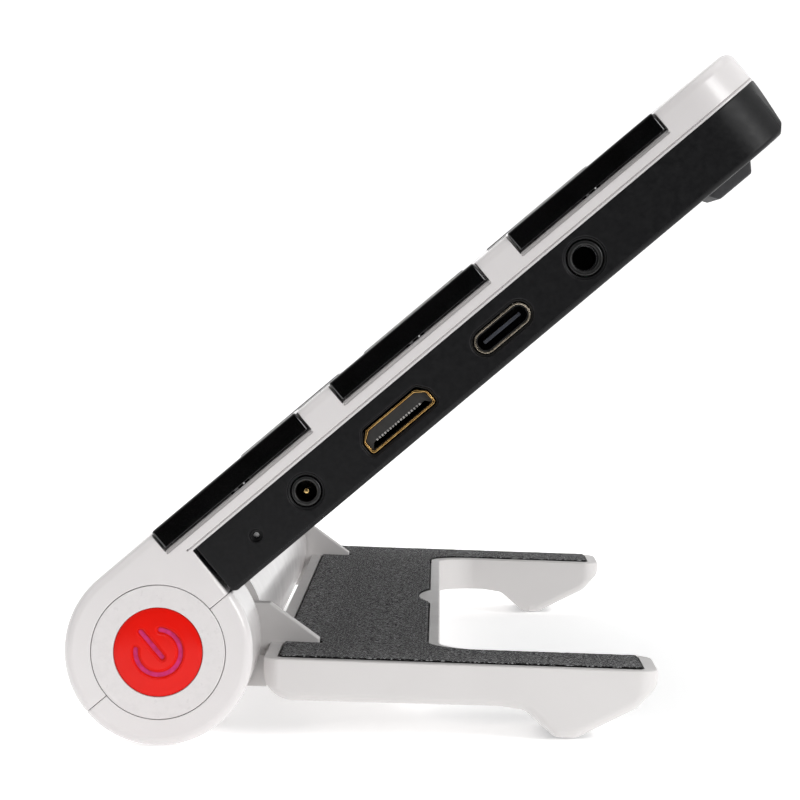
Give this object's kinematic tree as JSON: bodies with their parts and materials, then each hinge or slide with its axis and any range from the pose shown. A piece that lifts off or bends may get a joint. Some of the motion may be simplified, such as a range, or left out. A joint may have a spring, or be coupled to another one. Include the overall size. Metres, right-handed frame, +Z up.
{
  "type": "tilting screen console with side keys",
  "caption": "Compact screen console with side press keys and a row of side sockets, tilting on a barrel hinge over a felt-lined folding U stand.",
  "frame": {"origin": "on the table, under the middle of the whole object at rest", "axes": "+X from the player side to the stand's feet, +Y along the hinge away from the sockets, +Z up"},
  "size_m": [0.0982, 0.1804, 0.0947],
  "materials": {
    "gloss_white": "glossy moulded ABS",
    "satin_white": "satin moulded ABS",
    "stand_white": "fine satin moulded ABS",
    "matte_black": "fine matte moulded ABS",
    "key_black": "piano black gloss",
    "gloss_red": "high gloss",
    "display_glass": "polished black-bordered cover glass",
    "panel_metal": "plain sheet",
    "cable_amber": "polyimide flex",
    "board_green": "solder mask",
    "battery_wrap": "foil pouch",
    "socket_black": "moulded nylon",
    "socket_gold": "gold plated",
    "socket_steel": "drawn steel shell",
    "key_silicone": "silicone domes",
    "hinge_steel": "zinc plated",
    "foot_rubber": "matte",
    "screw_steel": "black zinc",
    "felt_grey": "fine foam-backed felt, speckled"
  },
  "bodies": {
    "stand": {"base_tray": "stand_white", "felt_pad": "felt_grey", "foot_pad_right": "foot_rubber", "foot_pad_left": "foot_rubber", "hinge_arm_right": "stand_white", "hinge_arm_left": "stand_white", "hinge_shaft_right": "hinge_steel", "hinge_shaft_left": "hinge_steel", "base_screws": "screw_steel"},
    "console": {"front_shell": "gloss_white", "rear_shell": "matte_black", "barrel_cover_right": "gloss_white", "barrel_cover_middle": "gloss_white", "barrel_cover_left": "gloss_white", "end_cap_right": "satin_white", "end_cap_left": "satin_white", "display_glass": "display_glass", "display_panel": "panel_metal", "display_cable": "cable_amber", "main_board": "board_green", "key_board": "board_green", "battery_pack": "battery_wrap", "dc_socket": "socket_black", "video_socket": "socket_gold", "usb_socket": "socket_steel", "audio_socket": "socket_black", "microphone": "panel_metal", "speaker_right": "socket_black", "speaker_left": "socket_black", "power_switch": "panel_metal", "key_domes": "key_silicone", "hinge_bracket_right": "hinge_steel", "hinge_bracket_left": "hinge_steel", "rear_bumpers": "foot_rubber", "case_screws": "screw_steel"},
    "power_button": {"power_button": "gloss_red"},
    "key_right_1": {"key_right_1": "key_black"},
    "key_right_2": {"key_right_2": "key_black"},
    "key_right_3": {"key_right_3": "key_black"},
    "key_left_1": {"key_left_1": "key_black"},
    "key_left_2": {"key_left_2": "key_black"},
    "key_left_3": {"key_left_3": "key_black"}
  },
  "joints": [
    {"name": "console_tilt", "type": "hinge", "parent": "stand", "child": "console", "pos_m": [-0.03619, 0, 0.01295], "axis": [0, -1, 0], "range_deg": [-41.5, 40]},
    {"name": "power_press", "type": "slide", "parent": "console", "child": "power_button", "axis": [0, 1, 0], "range_m": [0, 0.0006], "stiffness_N_per_m": 800, "springref_m": -0.001},
    {"name": "key_right_1_press", "type": "slide", "parent": "console", "child": "key_right_1", "axis": [0.6428, 0, -0.766], "range_m": [0, 0.0004], "stiffness_N_per_m": 800, "springref_m": -0.001},
    {"name": "key_right_2_press", "type": "slide", "parent": "console", "child": "key_right_2", "axis": [0.6428, 0, -0.766], "range_m": [0, 0.0004], "stiffness_N_per_m": 800, "springref_m": -0.001},
    {"name": "key_right_3_press", "type": "slide", "parent": "console", "child": "key_right_3", "axis": [0.6428, 0, -0.766], "range_m": [0, 0.0004], "stiffness_N_per_m": 800, "springref_m": -0.001},
    {"name": "key_left_1_press", "type": "slide", "parent": "console", "child": "key_left_1", "axis": [0.6428, 0, -0.766], "range_m": [0, 0.0004], "stiffness_N_per_m": 800, "springref_m": -0.001},
    {"name": "key_left_2_press", "type": "slide", "parent": "console", "child": "key_left_2", "axis": [0.6428, 0, -0.766], "range_m": [0, 0.0004], "stiffness_N_per_m": 800, "springref_m": -0.001},
    {"name": "key_left_3_press", "type": "slide", "parent": "console", "child": "key_left_3", "axis": [0.6428, 0, -0.766], "range_m": [0, 0.0004], "stiffness_N_per_m": 800, "springref_m": -0.001}
  ]
}
